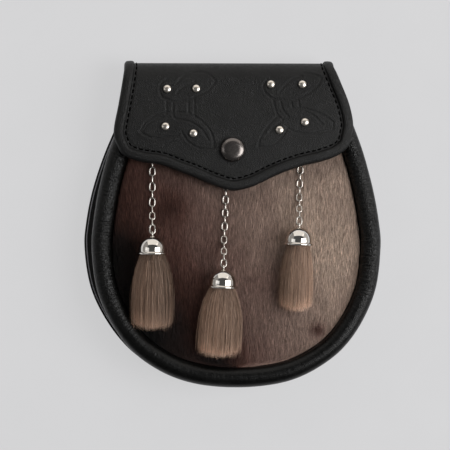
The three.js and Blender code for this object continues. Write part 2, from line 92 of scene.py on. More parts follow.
def smooth_line(points, count):
    """Evenly spaced points on a centripetal curve through a few chosen ones."""
    p = np.array(points, float)
    p = np.vstack([2 * p[0] - p[1], p, 2 * p[-1] - p[-2]])
    dense = []
    for a, b, c, d in zip(p, p[1:], p[2:], p[3:]):
        t0, t1 = 0, np.linalg.norm(b - a) ** 0.5
        t2 = t1 + np.linalg.norm(c - b) ** 0.5
        t3 = t2 + np.linalg.norm(d - c) ** 0.5
        t = np.linspace(t1, t2, 30, endpoint=False)[:, None]
        ab = ((t1 - t) * a + (t - t0) * b) / (t1 - t0)
        bc = ((t2 - t) * b + (t - t1) * c) / (t2 - t1)
        cd = ((t3 - t) * c + (t - t2) * d) / (t3 - t2)
        left = ((t2 - t) * ab + (t - t0) * bc) / (t2 - t0)
        right = ((t3 - t) * bc + (t - t1) * cd) / (t3 - t1)
        dense.append(((t2 - t) * left + (t - t1) * right) / (t2 - t1))
    return evenly(np.vstack([*dense, p[-2:-1]]), count)


def inward(line):
    """Unit vectors to the left of a line, which is inside where it runs anticlockwise."""
    along = np.gradient(line, axis=0)
    along /= np.linalg.norm(along, axis=1)[:, None]
    return np.stack([-along[:, 1], along[:, 0]], axis=1)


def streaks(x, y, fine, long, seed):
    """A slow random value for each place, about -1 to 1, that changes over fine across and long along."""
    return np.array([noise.noise(Vector((px / fine, py / long, seed))) for px, py in zip(x, y)])


def rise_y(share):
    return bottom_y + share * pouch_height


right_side = [(w * half_pouch, rise_y(h)) for w, h in body_outline]
left_side = [(-x, y) for x, y in reversed(right_side)]
body_line = smooth_line([*left_side, (0, bottom_y), *right_side], 900)
print("outline of the border, mm long:", round(np.linalg.norm(np.diff(body_line, axis=0), axis=1).sum() / mm))


# %% [markdown]
# The front of the pouch slopes a little, because it is deeper at the bottom than at the mouth, and the
# fur front swells out of that slope. These few functions give the height of each surface, and every
# piece that lies on the front asks them where it is.

# %% Heights on the front
dome_rise, dome_power, mouth_stretch = 0.534, 2.4, 1.1


def front_plane(y):
    share = (y - bottom_y) / pouch_height
    return back_thick + clear + bottom_depth + (mouth_depth - bottom_depth) * share


def dome(x, y):
    middle_y = rise_y(dome_rise)
    down = middle_y - bottom_y - border_width
    up = (mouth_y - middle_y) * mouth_stretch
    across = np.abs(x) / (half_pouch - border_width)
    along = np.abs(y - middle_y) / np.where(y < middle_y, down, up)
    return panel_crown * np.maximum(0, 1 - across ** dome_power - along ** dome_power)


def panel_top(x, y):
    return front_plane(y) + clear + panel_thick + dome(x, y)


front_slope = math.atan((bottom_depth - mouth_depth) / pouch_height)
print("slope of the front, degrees:", round(math.degrees(front_slope), 2))

# %% [markdown]
# The flap is one piece of leather. It starts inside the mouth, goes round the fold and lies on the
# front. It is cut flat, so its outline is drawn flat too, as x across and s along the leather, and one
# function bends any flat point round the fold. Stitches, binding and the embossed knot use the same one.

# %% Sizes of the flap and the bend that folds it
flap_width = 146 * mm
flap_drop = 78.5 * mm
flap_thick = 2.2 * mm
flap_shift = -2.8 * mm
flap_crown = 3 * mm
crown_run = 30 * mm
fold_gap = 1 * mm
hinge_length = 17 * mm
binding_width = 6.2 * mm
binding_wall = 1.1 * mm

flap_outline = [  # share of the drop, shares of half the width to the left and the right
    (0.012, 0.899, 0.860), (0.178, 0.919, 0.914), (0.333, 0.952, 0.985), (0.493, 0.986, 1.015),
    (0.567, 0.990, 1.001), (0.648, 0.962, 0.977), (0.720, 0.915, 0.890), (0.770, 0.790, 0.751),
    (0.797, 0.610, 0.629), (0.812, 0.555, 0.567), (0.850, 0.455, 0.446), (0.889, 0.340, 0.345),
    (0.937, 0.222, 0.240), (0.971, 0.125, 0.155),
]

fold_floor = back_thick + clear + flap_thick / 2
fold_y = mouth_y + fold_gap
fold_roof = front_plane(fold_y) + clear + border_height + clear + binding_wall + clear + flap_thick / 2
fold_radius = (fold_roof - fold_floor) / (1 + math.cos(front_slope))
fold_z = fold_floor + fold_radius
fold_length = fold_radius * (math.pi - front_slope)
fold_top_y = fold_y + fold_radius + flap_thick / 2
fold_end_y = fold_y + fold_radius * math.sin(front_slope)


def flat_s(y):
    return fold_length + (fold_end_y - y) / math.cos(front_slope)


def fold(x, s, w):
    """A flat point, w above the middle of the leather, bent round the fold."""
    x, s, w = np.broadcast_arrays(np.asarray(x, float), s, w)
    angle = np.clip(s, 0, fold_length) / fold_radius - math.pi / 2
    inside = np.minimum(s, 0)
    down = np.maximum(s - fold_length, 0)
    y = fold_y + (fold_radius + w) * np.cos(angle) - down * np.sin(angle) + inside
    z = fold_z + (fold_radius + w) * np.sin(angle) + down * np.cos(angle)
    ease = np.clip(down / crown_run, 0, 1)
    swell = flap_crown * ease ** 2 * (3 - 2 * ease) * (1 - ((x - flap_shift) / (flap_width / 2)) ** 2)
    return np.stack([x, y, z + swell], axis=-1)


def flap_edge_line(count):
    """The cut edge in the flat, from behind the fold down the left, round the tip and up the right."""
    drops = np.array([row[0] for row in flap_outline])
    lefts = flap_shift - flap_width / 2 * np.array([row[1] for row in flap_outline])
    rights = flap_shift + flap_width / 2 * np.array([row[2] for row in flap_outline])
    around = [(lefts[0], fold_length * k / 8, rights[0]) for k in (0.9, 2, 3.2, 4.4, 5.6)]
    around.append((np.interp(0.08, drops, lefts), fold_length * 6.8 / 8, np.interp(0.08, drops, rights)))
    front = [(left, flat_s(fold_top_y - drop * flap_drop), right)
             for drop, left, right in zip(drops, lefts, rights) if drop > 0.18]
    rows = around + front
    tip = (flap_shift, flat_s(fold_top_y - flap_drop))
    points = [(left, s) for left, s, _ in rows] + [tip] + [(right, s) for _, s, right in reversed(rows)]
    return smooth_line(points, count)


flap_edge = flap_edge_line(1400)
flap_inward = -inward(flap_edge)
print("cut edge of the flap, mm:", round(np.linalg.norm(np.diff(flap_edge, axis=0), axis=1).sum() / mm))


# %% [markdown]
# Most pieces here are skins: a plain grid whose points are moved to their place on the piece. Blender
# makes the grid and joins its edges, and the piece's own place function gives the shape. That keeps the
# faces in tidy rows, which bends and shades better than a shape cut from blocks.

# %% Helpers that make a piece
to_frame = Matrix.Translation((middle_x, 0, 0))


def finish_mesh(bm, name, material, smooth=True):
    """A piece from bm, which is drawn round the middle of the pouch, and its place in the frame."""
    mesh = bpy.data.meshes.new(name)
    bm.to_mesh(mesh)
    bm.free()
    mesh.transform(to_frame)
    if smooth:
        mesh.polygons.foreach_set("use_smooth", [True] * len(mesh.polygons))
    piece = bpy.data.objects.new(name, mesh)
    bpy.context.scene.collection.objects.link(piece)
    mesh.materials.append(material)
    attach(piece, "root")
    triangles = sum(len(p.vertices) - 2 for p in mesh.polygons)
    print(f"{name}: {triangles} triangles")
    return piece


def skin(columns, rows, place, wrap_columns=False, wrap_rows=False, cap=False):
    """A grid of columns by rows, each point moved to place(u, v) with u across and v along, 0 to 1."""
    bm = bmesh.new()
    bmesh.ops.create_grid(bm, x_segments=columns, y_segments=rows, size=0.5)
    flat = np.array([v.co[:2] for v in bm.verts]) + 0.5
    for vert, spot in zip(bm.verts, place(flat[:, 0], flat[:, 1])):
        vert.co = spot
    if wrap_columns or wrap_rows:
        bmesh.ops.remove_doubles(bm, verts=bm.verts, dist=1e-7)
    if cap:
        bmesh.ops.holes_fill(bm, edges=[e for e in bm.edges if e.is_boundary], sides=0)
    return bm


def add_copy(bm, mesh, matrix):
    """Joins a moved copy of a mesh to bm."""
    before = len(bm.verts)
    bm.from_mesh(mesh)
    bm.verts.ensure_lookup_table()
    bmesh.ops.transform(bm, matrix=matrix, verts=bm.verts[before:])


def turned_mesh(name, profile, steps):
    """A closed turned shape from (radius, height) points, with its axis along Y."""
    bm = bmesh.new()
    verts = [bm.verts.new((r, h, 0)) for r, h in profile]
    edges = [bm.edges.new(pair) for pair in zip(verts, verts[1:])]
    bmesh.ops.spin(bm, geom=verts + edges, cent=(0, 0, 0), axis=(0, 1, 0), dvec=(0, 0, 0),
                   angle=math.tau, steps=steps, use_merge=True)
    bmesh.ops.remove_doubles(bm, verts=bm.verts, dist=1e-7)
    bmesh.ops.recalc_face_normals(bm, faces=bm.faces)
    mesh = bpy.data.meshes.new(name)
    bm.to_mesh(mesh)
    bm.free()
    return mesh


# %% [markdown]
# Leather, fur, chrome and nickel are procedural materials. A small helper links nodes, so that each
# finish reads as a short recipe. Grain is a bump from noise and cells in the object's own coordinates,
# at the real size of the grain.

# %% A helper for materials
class Recipe:
    def __init__(self, name, **values):
        self.material = bpy.data.materials.new(name)
        self.material.use_nodes = True
        self.nodes = self.material.node_tree.nodes
        self.shader = self.nodes["Principled BSDF"]
        for socket, value in values.items():
            self.shader.inputs[socket.replace("_", " ")].default_value = value

    def node(self, kind, values=(), **settings):
        made = self.nodes.new("ShaderNode" + kind)
        for name, value in settings.items():
            setattr(made, name, value)
        for socket, value in dict(values).items():
            if hasattr(value, "is_output"):
                self.material.node_tree.links.new(value, made.inputs[socket])
            else:
                made.inputs[socket].default_value = value
        return made

    def place(self):
        return self.node("TexCoord").outputs["Object"]

    def noise(self, scale, detail=3):
        made = self.node("TexNoise", {"Vector": self.place(), "Scale": scale, "Detail": detail,
                                      "Roughness": 0.55})
        return made.outputs["Fac"]

    def cells(self, size):
        made = self.node("TexVoronoi", {"Vector": self.place(), "Scale": 1 / size},
                         feature="DISTANCE_TO_EDGE")
        return made.outputs["Distance"]

    def math(self, operation, a, b=0.0):
        return self.node("Math", {0: a, 1: b}, operation=operation).outputs[0]

    def ramp(self, value, low, high, out_low=0.0, out_high=1.0):
        made = self.node("MapRange", {"Value": value, "From Min": low, "From Max": high,
                                      "To Min": out_low, "To Max": out_high})
        return made.outputs["Result"]

    def mix(self, share, a, b):
        return self.node("Mix", {"Factor": share, 6: a, 7: b}, data_type="RGBA").outputs[2]

    def bump(self, height, depth, strength=1.0):
        made = self.node("Bump", {"Height": height, "Distance": depth, "Strength": strength})
        self.link(made.outputs["Normal"], "Normal")

    def link(self, output, socket):
        self.material.node_tree.links.new(output, self.shader.inputs[socket])


# %% [markdown]
# All the leather is black, but each piece has its own print. The flap is smooth with a fine grain, the
# border has coarse pebbles that glint, and the back and the gusset are plain. The grain is a bump, since
# real grain is too fine for a mesh, and the polish changes from spot to spot, as on handled leather.

# %% Leather finishes
def two_tones(recipe, scale, detail, dark, light):
    """A slow drift between a dark and a light tone."""
    cloud = recipe.ramp(recipe.noise(scale, detail), 0.35, 0.65)
    recipe.link(recipe.mix(cloud, (*dark, 1), (*light, 1)), "Base Color")


def smooth_leather():
    """The flap: calf leather with a fine print and a soft sheen."""
    r = Recipe("flap_leather", Specular_IOR_Level=0.30)
    grain = r.math("ADD", r.ramp(r.cells(1.0 * mm), 0, 0.4), r.math("MULTIPLY", r.noise(700, 4), 1.4))
    r.bump(grain, 0.16 * mm, 0.9)
    two_tones(r, 60, 4, (0.0050, 0.0050, 0.0050), (0.0085, 0.0085, 0.0083))
    r.link(r.ramp(r.noise(400, 3), 0.3, 0.7, 0.40, 0.56), "Roughness")
    return r.material


def pebble_leather():
    """The border: black leather with a coarse pebble grain that glints. It is worn flatter at the bottom."""
    r = Recipe("border_leather", Specular_IOR_Level=0.27)
    pebble = r.ramp(r.cells(1.15 * mm), 0, 0.42)
    grain = r.math("ADD", pebble, r.math("MULTIPLY", r.noise(1500, 3), 0.35))
    rise = r.node("SeparateXYZ", {0: r.place()}).outputs[1]
    worn = r.ramp(rise, -75 * mm, -30 * mm, 0.3, 1.0)
    r.bump(r.math("MULTIPLY", grain, worn), 0.20 * mm, 0.9)
    two_tones(r, 90, 3, (0.0016, 0.0016, 0.0015), (0.0034, 0.0034, 0.0032))
    r.link(r.ramp(r.noise(500, 3), 0.3, 0.7, 0.26, 0.42), "Roughness")
    return r.material


def plain_leather():
    """The back and the gusset: the same hide with less grain."""
    r = Recipe("gusset_leather", Roughness=0.55)
    grain = r.math("ADD", r.ramp(r.cells(1.4 * mm), 0, 0.3), r.noise(1100, 3))
    r.bump(grain, 0.12 * mm, 0.6)
    two_tones(r, 50, 3, (0.0045, 0.0045, 0.0045), (0.008, 0.008, 0.008))
    return r.material


def edge_highlight_finish():
    """A glossy pale grey for the line along the back's edge: a painted highlight."""
    r = Recipe("painted_edge_highlight", Roughness=0.3)
    # The pale grey stands for the light caught on the back's edge: painted highlight.
    r.link(r.mix(r.ramp(r.noise(400, 2), 0.3, 0.7), (0.40, 0.40, 0.43, 1), (0.55, 0.55, 0.60, 1)), "Base Color")
    return r.material


painted_edge_highlight = edge_highlight_finish()
flap_leather = smooth_leather()
border_leather = pebble_leather()
gusset_leather = plain_leather()
for finish in (flap_leather, border_leather, gusset_leather, painted_edge_highlight):
    print(finish.name, "has", len(finish.node_tree.nodes), "nodes")


# %% [markdown]
# Chrome, nickel and the dark snap are the same recipe with another colour and polish: bare metal whose
# polish wanders a little, with a faint wave, so that it reflects the room as a worn part does. Hair needs
# no pattern, because every strand carries its own tone as an attribute of its points.

# %% Metal, hair and thread finishes
def metal(name, colour, rough, wear):
    r = Recipe(name, Metallic=1.0)
    r.shader.inputs["Base Color"].default_value = (*colour, 1)
    r.link(r.ramp(r.noise(700, 3), 0.3, 0.7, rough, rough + wear), "Roughness")
    r.bump(r.noise(300, 2), 0.01 * mm, 0.25)
    return r.material


def hair_finish(name, rough):
    """Hair: each strand carries its own colour, with painted shade that makes it darker at the root."""
    r = Recipe(name, Roughness=rough, Specular_IOR_Level=0.18)
    tone = r.node("Attribute", attribute_name="tone").outputs["Color"]
    r.link(tone, "Base Color")
    return r.material


chrome = metal("chrome", (0.80, 0.76, 0.71), 0.05, 0.04)
nickel = metal("nickel", (0.70, 0.655, 0.60), 0.20, 0.10)
rivet_nickel = metal("rivet_nickel", (0.90, 0.83, 0.74), 0.26, 0.06)
gunmetal = metal("dark_metal", (0.20, 0.18, 0.17), 0.24, 0.04)
fur_finish = hair_finish("fur", 0.6)
tassel_finish = hair_finish("hair", 0.55)


def thread_finish():
    r = Recipe("thread", Roughness=0.9, Specular_IOR_Level=0.0)
    r.shader.inputs["Base Color"].default_value = (0.0012, 0.0012, 0.0012, 1)
    r.bump(r.noise(3000, 2), 0.05 * mm, 0.5)
    return r.material


thread = thread_finish()
print("finishes in all:", len(bpy.data.materials))


# %% [markdown]
# The back is a flat plate of leather whose rim stands out a little at the sides. It is drawn as its
# outline and the two slots for the strap, filled as one flat face, and given its thickness by an
# extrusion, as the real one is cut from a hide.

# %% The back
def back_rim_at(line, side):
    """How far the back's cut edge stands out from the outline: most at mid height, nothing at the ends."""
    rim = np.where(line[:, :1] < 0, back_rim_left, back_rim_right)
    return -side * rim * np.sin(math.pi * (line[:, 1:] - bottom_y) / pouch_height) ** 2


def back_plate():
    slot_width, slot_length, slot_x, slot_y = 6 * mm, 40 * mm, 38 * mm, rise_y(0.75)
    line = body_line[::4]
    bm = bmesh.new()
    loops = [line + back_rim_at(line, inward(line))]
    for side in (-1, 1):
        corners = [(-1, -1), (1, -1), (1, 1), (-1, 1)]
        loops.append(np.array([(side * slot_x + a * slot_width / 2, slot_y + b * slot_length / 2)
                               for a, b in corners]))
    edges = []
    for loop in loops:
        verts = [bm.verts.new((x, y, back_thick)) for x, y in loop]
        edges += [bm.edges.new((a, b)) for a, b in zip(verts, verts[1:] + verts[:1])]
    filled = bmesh.ops.triangle_fill(bm, use_beauty=True, use_dissolve=False, edges=edges)
    faces = [f for f in filled["geom"] if isinstance(f, bmesh.types.BMFace)]
    lower = bmesh.ops.extrude_face_region(bm, geom=faces, use_keep_orig=True)
    moved = [v for v in lower["geom"] if isinstance(v, bmesh.types.BMVert)]
    bmesh.ops.translate(bm, verts=moved, vec=(0, 0, -back_thick))
    bmesh.ops.recalc_face_normals(bm, faces=bm.faces)
    return finish_mesh(bm, "back_leather", gusset_leather, smooth=False)


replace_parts(back_plate(), "back_panel")


# %% [markdown]
# The gusset is the wall of the pouch. It is one strip of leather, bowed a little outward, so its
# section is a thin bowed loop that is carried along the outline.

# %% The gusset
def ring_section(points, count):
    """A closed section in (in, up) as evenly spaced points."""
    return evenly(np.array([*points, points[0]], float), count + 1)


def along_body(section, z_of, columns, rows):
    """A skin of a closed section carried along the border's outline."""
    line = evenly(body_line, rows + 1)
    side = inward(line)

    def place(u, v):
        at = np.rint(v * rows).astype(int)
        k = np.rint(u * columns).astype(int)
        xy = line[at] + side[at] * section[k, :1]
        return np.column_stack([xy, z_of(xy[:, 0], xy[:, 1], section[k, 1])])

    return skin(columns, rows, place, wrap_columns=True, cap=True)


def gusset_wall():
    inset, wall, bulge = 1.8 * mm, 2 * mm, 1.2 * mm
    up = np.linspace(0, 1, 12)
    bow = bulge * np.sin(math.pi * up) ** 0.7
    outer = [(inset - b, h) for b, h in zip(bow, up)]
    section = np.array([*outer, *((x + wall, h) for x, h in reversed(outer)), outer[0]])
    floor = back_thick + clear
    bm = along_body(section, lambda x, y, h: floor + h * (front_plane(y) - floor), len(section) - 1, 240)
    bmesh.ops.recalc_face_normals(bm, faces=bm.faces)
    return finish_mesh(bm, "gusset_wall", gusset_leather)


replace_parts(gusset_wall(), "gusset")


# %% [markdown]
# The back stands out past the border at both sides, and a thin pale line runs along it, a painted highlight
# on the back's edge. It is a round bead that is carried along the rim, a little in from the cut edge,
# because a flat pale stripe would be lost in the grain.

# %% The painted highlight along the back's edge
def edge_highlight_bead():
    rows, sides, wire, inset = 400, 8, 0.35 * mm, 1.5 * mm
    line = evenly(body_line, rows + 1)
    side = inward(line)
    line = line + back_rim_at(line, side) + side * inset
    around = np.linspace(0, math.tau, sides + 1)

    def place(u, v):
        at, k = np.rint(v * rows).astype(int), np.rint(u * sides).astype(int)
        xy = line[at] + side[at] * wire * np.cos(around[k])[:, None]
        return np.column_stack([xy, back_thick + 0.2 * wire + wire * np.sin(around[k])])

    bm = skin(sides, rows, place, wrap_columns=True, cap=True)
    bmesh.ops.recalc_face_normals(bm, faces=bm.faces)
    return finish_mesh(bm, "edge_highlight_bead", painted_edge_highlight)


edge_highlight_bead()


# %% [markdown]
# The border is a padded roll: black pebbled leather over a filling, flat where it is sewn down and
# round on top. Its section is half an oval, and small swells and creases along it keep it from looking
# machined. The creases are deepest at the inner seam and fade toward the bottom.

# %% The padded border
def border():
    columns, rows = 32, 1400
    wall_share = 0.28  # how much of the height stands upright before the top rounds over
    angle = np.linspace(0, math.pi, 25)
    top = [(border_width / 2 * (1 + math.cos(a)),
            border_height * (wall_share + (1 - wall_share) * math.sin(a) ** 0.8)) for a in angle]
    section = ring_section([*top, (border_width * 0.05, 0), (border_width * 0.95, 0)], columns)
    line = evenly(body_line, rows + 1)
    side = inward(line)
    step = np.linalg.norm(line[1] - line[0])

    def place(u, v):
        at, k = np.rint(v * rows).astype(int), np.rint(u * columns).astype(int)
        x, y = line[at].T
        swell = 0.03 * streaks(x, y, 22 * mm, 22 * mm, 2.0)
        pucker = streaks(at * step, section[k, 0], 1.1 * mm, 5 * mm, 5.0)
        inner = np.clip(section[k, 0] / border_width, 0, 1)
        fade = np.clip((y + 85 * mm) / (45 * mm), 0.25, 1)
        grow = 1 + swell + (0.010 + 0.035 * inner) * pucker * fade
        across = border_width / 2 + (section[k, 0] - border_width / 2) * np.minimum(grow, 1)
        xy = line[at] + side[at] * across[:, None]
        return np.column_stack([xy, front_plane(y) + clear + section[k, 1] * grow])

    bm = skin(columns, rows, place, wrap_columns=True, cap=True)
    bmesh.ops.recalc_face_normals(bm, faces=bm.faces)
    piece = finish_mesh(bm, "border_leather", border_leather)
    return piece


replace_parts(border(), "border_roll")


# %% [markdown]
# The flap's knot is pressed into the leather, so it is modelled as real grooves: every point of a fine
# grid is lowered by its distance to the knot's lines, with a soft lip on both sides. The lines are a few
# points each, in millimetres from the middle of the pouch.

# %% Lines of the embossed knot
left_knot = [
    [(-59.2, 56.0), (-55.4, 62.1), (-49.6, 65.9), (-44.3, 67.9), (-39.4, 67.6)],
    [(-57.4, 56.6), (-53.5, 61.2), (-48.9, 63.8), (-45.2, 64.7)],
    [(-59.2, 56.0), (-54.7, 53.2), (-49.6, 51.8), (-43.5, 52.2), (-37.4, 53.4), (-33.9, 56.0)],
    [(-36.7, 67.9), (-30.6, 67.1), (-24.5, 64.4), (-18.4, 59.1), (-15.0, 53.0), (-14.2, 46.0)],
    [(-35.9, 63.3), (-30.6, 62.5), (-25.2, 60.2), (-20.6, 56.0), (-17.8, 51.2)],
    [(-33.9, 56.0), (-30.6, 50.5), (-24.5, 46.4), (-19.3, 45.2), (-14.2, 46.0)],
    [(-43.1, 74.9), (-43.1, 66.7)],
    [(-38.9, 74.2), (-38.5, 64.6), (-35.9, 63.3)],
    [(-29.4, 76.8), (-29.7, 67.3)],
    [(-26.0, 77.1), (-25.9, 65.5)],
    [(-47.1, 80.7), (-45.8, 77.3), (-42.0, 75.5), (-37.4, 74.5), (-31.5, 74.6),
     (-26.0, 76.9), (-19.1, 80.3), (-15.3, 83.5), (-13.0, 87.3)],
    [(-37.1, 85.0), (-33.6, 88.8), (-29.1, 91.1), (-23.9, 92.3), (-18.1, 91.4), (-13.0, 87.3)],
    [(-36.7, 79.6), (-32.8, 83.1), (-29.1, 85.0), (-25.4, 86.2)],
    [(-47.1, 80.7), (-46.4, 85.0), (-42.5, 88.1)],
]
right_knot = [
    [(17.2, 80.1), (21.0, 76.8), (27.1, 75.7), (34.4, 75.5),
     (42.3, 78.7), (46.9, 82.0), (49.9, 85.0), (51.8, 88.8)],
    [(25.8, 80.1), (27.9, 82.7), (30.9, 85.7), (34.7, 88.4), (39.9, 89.8)],
    [(51.8, 88.8), (46.6, 91.1), (41.1, 91.7)],
    [(17.2, 80.1), (16.1, 84.1), (18.5, 88.1)],
    [(22.1, 75.6), (22.9, 71.6), (24.8, 65.9), (27.9, 63.0)],
    [(26.4, 74.9), (28.0, 69.5), (31.6, 64.6)],
    [(33.2, 74.6), (33.8, 70.7)],
    [(37.4, 75.2), (38.0, 71.0)],
    [(31.6, 69.5), (36.2, 70.5), (42.3, 70.1), (48.4, 68.2), (53.0, 65.9), (58.5, 62.4)],
    [(41.1, 68.5), (46.9, 65.9), (52.1, 60.6)],
    [(30.7, 58.2), (35.5, 56.0), (41.6, 54.9), (47.7, 55.2), (53.0, 56.4), (58.4, 57.9), (58.5, 62.4)],
    [(24.8, 65.9), (20.2, 61.3), (16.4, 56.0), (14.1, 52.2), (12.6, 46.9)],
    [(27.9, 63.0), (23.7, 59.7), (19.7, 55.4)],
    [(12.6, 46.9), (18.5, 47.2), (24.6, 50.2), (28.9, 54.8), (30.7, 58.2)],
]
groove_depth = 0.33 * mm
groove_width = 0.55 * mm


def segments(line):
    return np.hstack([line[:-1], line[1:]])


def distance_to(points, pieces):
    """How far each point is from the nearest of many straight pieces."""
    best = np.full(len(points), np.inf)
    for x0, y0, x1, y1 in pieces:
        run = np.array([x1 - x0, y1 - y0])
        from_start = points - (x0, y0)
        share = np.clip(from_start @ run / (run @ run), 0, 1)
        best = np.minimum(best, np.hypot(*(from_start - share[:, None] * run).T))
    return best


def knot_pieces():
    pieces = []
    for line in left_knot + right_knot:
        drawn = smooth_line([(x * mm, y * mm) for x, y in line], 4 * len(line))
        pieces.append(segments(np.column_stack([drawn[:, 0], flat_s(drawn[:, 1])])))
    return np.vstack(pieces)


print("lines in the knot:", len(left_knot), "at the left and", len(right_knot), "at the right")


# %% [markdown]
# The leather of the flap ends inside its binding. Its grid is fine on the front, where the knot is, and
# coarse behind the fold. Solidify gives it its thickness once the grooves are in.

# %% The flap
stitch_inset = 7.5 * mm
stitch_line = flap_edge + flap_inward * stitch_inset
seam_depth, seam_width = 0.22 * mm, 0.6 * mm


def flap_sheet():
    columns, back_rows, front_rows = 250, 14, 165
    rows = back_rows + front_rows
    inset = binding_wall + clear
    cut = flap_edge + flap_inward * inset
    tip = np.argmax(cut[:, 1])
    left, right = cut[:tip + 1], cut[tip:][::-1]
    hinge_half = 0.698 * half_pouch - 4.8 * mm
    front_start = fold_length * 0.4
    s_back = np.linspace(-hinge_length, front_start, back_rows + 1)
    s_rows = np.concatenate([s_back[:-1], np.linspace(s_back[-1], cut[tip, 1], front_rows + 1)])
    behind = s_rows < left[0, 1]
    left_x = np.where(behind, -hinge_half, np.interp(s_rows, left[:, 1], left[:, 0]))
    right_x = np.where(behind, hinge_half, np.interp(s_rows, right[:, 1], right[:, 0]))

    def place(u, v):
        row = np.rint(v * rows).astype(int)
        x = left_x[row] + u * (right_x[row] - left_x[row])
        s = s_rows[row]
        flat = np.column_stack([x, s])
        w = np.full(len(x), flap_thick / 2)
        near = s > front_start
        d = distance_to(flat[near], knot_pieces())
        lip = np.exp(-((d - 2.1 * groove_width) / groove_width) ** 2)
        groove = np.exp(-(d / groove_width) ** 2) - 0.3 * lip
        seam = distance_to(flat[near], segments(stitch_line[::6]))
        w[near] -= groove_depth * groove + seam_depth * np.exp(-(seam / seam_width) ** 2)
        return fold(x, s, w)

    bm = skin(columns, rows, place)
    bmesh.ops.remove_doubles(bm, verts=bm.verts, dist=2e-6)
    bmesh.ops.recalc_face_normals(bm, faces=bm.faces)
    piece = finish_mesh(bm, "flap_leather", flap_leather)
    solid = piece.modifiers.new("thickness", "SOLIDIFY")
    solid.thickness = flap_thick * 0.95
    solid.offset = -1
    return piece


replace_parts(flap_sheet(), "flap")


# %% [markdown]
# The binding is a strip of leather folded round the cut edge and sewn through. Its section is a narrow
# channel with a soft, round top, carried along the edge in the flat and then folded with the flap.

# %% The binding
def flap_binding():
    columns, rows = 28, 520
    slot = flap_thick / 2 + clear
    roof = slot + binding_wall
    top = [(binding_width, slot + 0.25 * binding_wall), (0.93 * binding_width, slot + 0.75 * binding_wall),
           (0.75 * binding_width, roof), (0.45 * binding_width, roof),
           (0.2 * binding_width, slot + 0.7 * binding_wall), (0.04 * binding_width, slot * 0.8), (0, 0)]
    low = [(x, -y) for x, y in reversed(top[:-1])]
    slot_points = [(binding_width, -slot), (binding_wall, -slot), (binding_wall, slot), (binding_width, slot)]
    section = ring_section([*top, *low, *slot_points], columns)
    line = evenly(flap_edge, rows + 1)
    side = -inward(line)

    def place(u, v):
        at = np.rint(v * rows).astype(int)
        k = np.rint(u * columns).astype(int)
        xy = line[at] + side[at] * section[k, :1]
        return fold(xy[:, 0], xy[:, 1], section[k, 1])

    bm = skin(columns, rows, place, wrap_columns=True, cap=True)
    bmesh.ops.recalc_face_normals(bm, faces=bm.faces)
    return finish_mesh(bm, "binding_leather", flap_leather)


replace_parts(flap_binding(), "flap_binding")


# %% [markdown]
# The binding is sewn on with one row of black thread, which sinks into the leather. One stitch is a
# small spindle, and it is copied at even steps along a line inside the binding, so the row keeps its
# pitch round every curve.

# %% The stitches
def stitches():
    pitch, length, width = 3.7 * mm, 2.6 * mm, 0.85 * mm
    reach = np.linalg.norm(np.diff(stitch_line, axis=0), axis=1).sum()
    line = evenly(stitch_line, int(reach / pitch) + 1)
    spots = fold(line[:, 0], line[:, 1], flap_thick / 2 - 0.1 * mm)
    one = turned_mesh("stitch", [(0, -length / 2), (width * 0.35, -length * 0.46), (width / 2, -length * 0.3),
                                 (width / 2, length * 0.3), (width * 0.35, length * 0.46), (0, length / 2)], 6)
    bm = bmesh.new()
    for before, here, after in zip(spots, spots[1:], spots[2:]):
        along = Vector(after - before).normalized()
        turn = along.to_track_quat("Y", "Z").to_matrix().to_4x4()
        add_copy(bm, one, Matrix.Translation(here) @ turn)
    return finish_mesh(bm, "stitches", thread)


stitches()


# %% [markdown]
# The snap's cap and the rivets are turned shapes with a round head. They sit square to the leather, so
# the bend function also gives each one the direction of its axis.

# %% The snap and the rivets
def flap_seat(across, rise):
    """A matrix with Y out of the leather, at a place given as shares of half the width and the height."""
    x, y, step = across * half_pouch, rise_y(rise), 0.5 * mm

    def at(px, py):
        return Vector(fold(px, flat_s(py), flap_thick / 2))

    normal = (at(x + step, y) - at(x - step, y)).cross(at(x, y + step) - at(x, y - step)).normalized()
    turn = Vector((0, 1, 0)).rotation_difference(normal).to_matrix().to_4x4()
    return Matrix.Translation(at(x, y) + normal * clear) @ turn


def round_head(name, radius, height, shank, steps, flatness=0.8):
    angle = np.linspace(0, math.pi / 2, 14)
    head = [(radius * math.cos(a) ** flatness, 0.18 * height + 0.82 * height * math.sin(a)) for a in angle[:-1]]
    profile = [(0, -flap_thick - clear), (shank, -flap_thick - clear), (shank, 0), (radius * 0.97, 0),
               (radius, 0.08 * height), *head, (0, height)]
    return turned_mesh(name, profile, steps)


snap_bm = bmesh.new()
snap_mesh = round_head("snap", radius=7.5 * mm, height=3.6 * mm, shank=2.5 * mm, steps=64, flatness=0.45)
add_copy(snap_bm, snap_mesh, flap_seat(-0.032, 0.783))
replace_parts(finish_mesh(snap_bm, "snap_head", gunmetal), "snap_cap")

rivet_places = [(-0.48, 0.983), (-0.28, 0.984), (-0.493, 0.859), (-0.301, 0.836),
                (0.235, 0.999), (0.452, 0.999), (0.292, 0.848), (0.467, 0.874)]
rivet_mesh = round_head("rivet", radius=2.5 * mm, height=1.7 * mm, shank=1 * mm, steps=28)
for number, place in enumerate(rivet_places, 1):
    rivet_bm = bmesh.new()
    add_copy(rivet_bm, rivet_mesh, flap_seat(*place))
    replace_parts(finish_mesh(rivet_bm, f"rivet_head_{number}", rivet_nickel), f"rivet_{number}")

# %% [markdown]
# Each tassel hangs from a chain. A table holds where its staple, its cap's lip and its lean are, and one
# matrix per tassel has Y along the hanging direction, so cap and hair are made upright and then placed.

